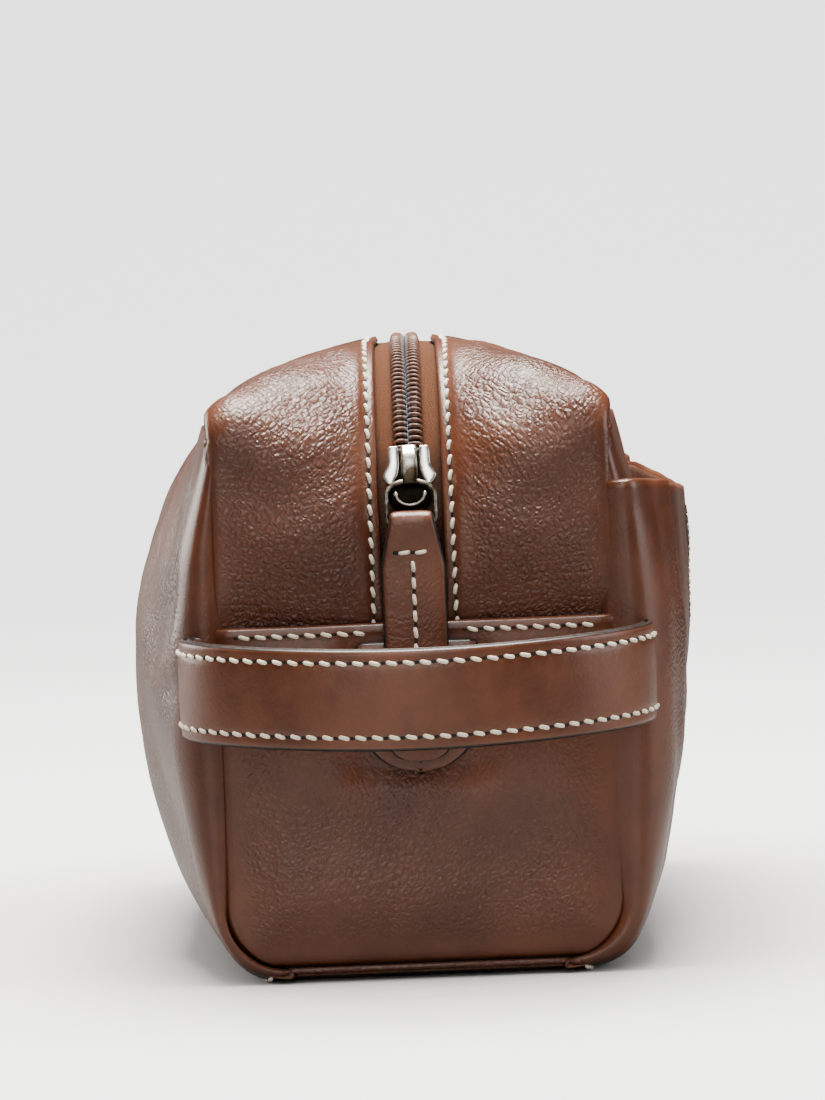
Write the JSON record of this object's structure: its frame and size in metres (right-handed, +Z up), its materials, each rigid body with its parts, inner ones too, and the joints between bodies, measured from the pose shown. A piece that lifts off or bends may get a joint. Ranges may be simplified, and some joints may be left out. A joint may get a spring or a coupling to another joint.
{
  "type": "shaving kit bag",
  "caption": "Boxy leather wash bag with a zipped top that runs down both ends, a slip pocket on the front and a strap handle on one end",
  "frame": {"origin": "middle of the base, on the face that the bag stands on", "axes": "+X along the bag away from the handle end, -Y towards the pocket side, +Z up"},
  "size_m": [0.3006, 0.1646, 0.1726],
  "materials": {
    "leather": "full-grain, semi-gloss, waxed",
    "label_leather": "smooth, semi-gloss, painted edges",
    "zip_tape": "woven polyester tape",
    "zip_coil": "nylon coil, satin",
    "aged_brass": "antique brass, rubbed edges",
    "lining": "plain woven cotton twill",
    "board": "grey fibreboard"
  },
  "bodies": {
    "bag": {"front_panel": "leather", "back_panel": "leather", "base_panel": "leather", "end_panel_left": "leather", "end_panel_right": "leather", "shoulder_front_left": "leather", "shoulder_back_left": "leather", "shoulder_front_right": "leather", "shoulder_back_right": "leather", "zip_tape_left": "zip_tape", "zip_tape_right": "zip_tape", "zip_coil_left": "zip_coil", "zip_coil_right": "zip_coil", "zip_stop_left": "aged_brass", "zip_stop_right": "aged_brass", "zip_end_tab_left": "leather", "zip_end_tab_right": "leather", "pocket_panel": "leather", "label_patch": "label_leather", "body_lining": "lining", "end_lining_left": "lining", "end_lining_right": "lining", "base_board": "board", "handle_end_front": "leather", "handle_end_back": "leather"},
    "flap_front": {"flap_front": "leather", "flap_front_tape": "zip_tape", "flap_front_coil": "zip_coil", "flap_front_lining": "lining"},
    "flap_back": {"flap_back": "leather", "flap_back_tape": "zip_tape", "flap_back_coil": "zip_coil", "flap_back_lining": "lining"},
    "handle": {"handle_face": "leather", "handle_backing": "leather"},
    "slider": {"slider_body": "aged_brass", "slider_crown": "aged_brass"},
    "pull_ring": {"pull_ring": "aged_brass"},
    "pull_tab": {"pull_tab_face": "leather", "pull_tab_backing": "leather"}
  },
  "joints": [
    {"name": "mouth_front", "type": "hinge", "parent": "bag", "child": "flap_front", "pos_m": [0, -0.056, 0.15], "axis": [1, 0, 0], "range_deg": [0, 80]},
    {"name": "mouth_back", "type": "hinge", "parent": "bag", "child": "flap_back", "pos_m": [0, 0.056, 0.15], "axis": [-1, 0, 0], "range_deg": [0, 80]},
    {"name": "handle_swing", "type": "hinge", "parent": "bag", "child": "handle", "pos_m": [-0.1275, 0, 0.0815], "axis": [0, 1, 0], "range_deg": [-18, 25]},
    {"name": "slider_run", "type": "hinge", "parent": "bag", "child": "slider", "pos_m": [-0.0695, 0, 0.1132], "axis": [0, 1, 0], "range_deg": [0, 50]},
    {"name": "ring_lift", "type": "hinge", "parent": "slider", "child": "pull_ring", "pos_m": [-0.12949, 0, 0.13387], "axis": [0, 1, 0], "range_deg": [0, 10]},
    {"name": "tab_swing", "type": "hinge", "parent": "pull_ring", "child": "pull_tab", "pos_m": [-0.1326, 0, 0.12297], "axis": [0, 1, 0], "range_deg": [0, 13]}
  ]
}
